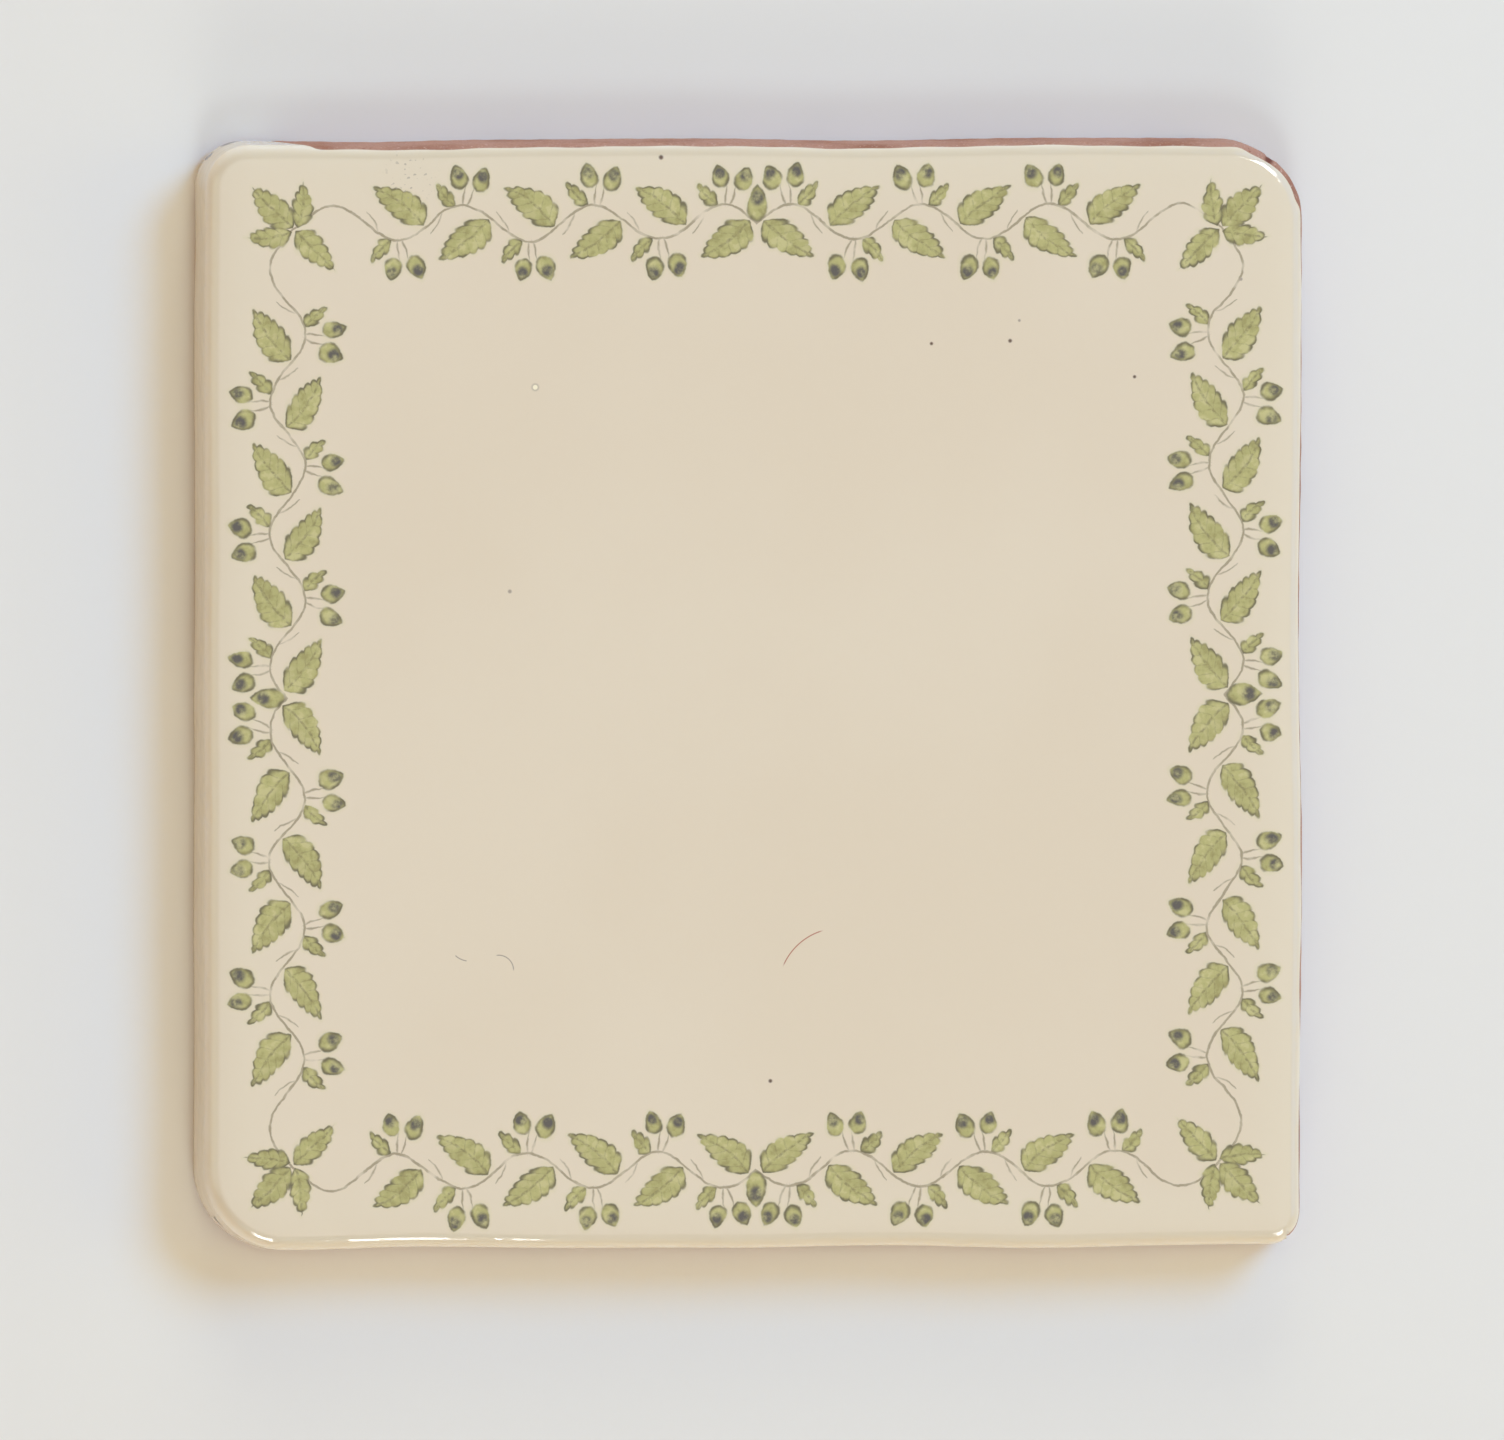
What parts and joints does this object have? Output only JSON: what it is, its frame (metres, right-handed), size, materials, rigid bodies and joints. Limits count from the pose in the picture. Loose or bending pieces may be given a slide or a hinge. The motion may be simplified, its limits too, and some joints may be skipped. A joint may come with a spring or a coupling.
{
  "type": "victorian border tile",
  "caption": "Square handmade wall tile of fired clay, cream glossy glaze, leafy printed border, hand-cut wavy sides, rounded corners and a soft rolled shoulder.",
  "frame": {"origin": "middle of the flat back, under the centre of the face", "axes": "+Z out of the glazed face, +X across the face to its right, +Y up the face; the tile lies on its back"},
  "size_m": [0.1322, 0.1318, 0.01],
  "materials": {
    "glaze": "glossy cream glaze with a green print under it",
    "clay": "matt fired terracotta"
  },
  "bodies": {
    "root": {"border_tile": "glaze"}
  },
  "joints": []
}
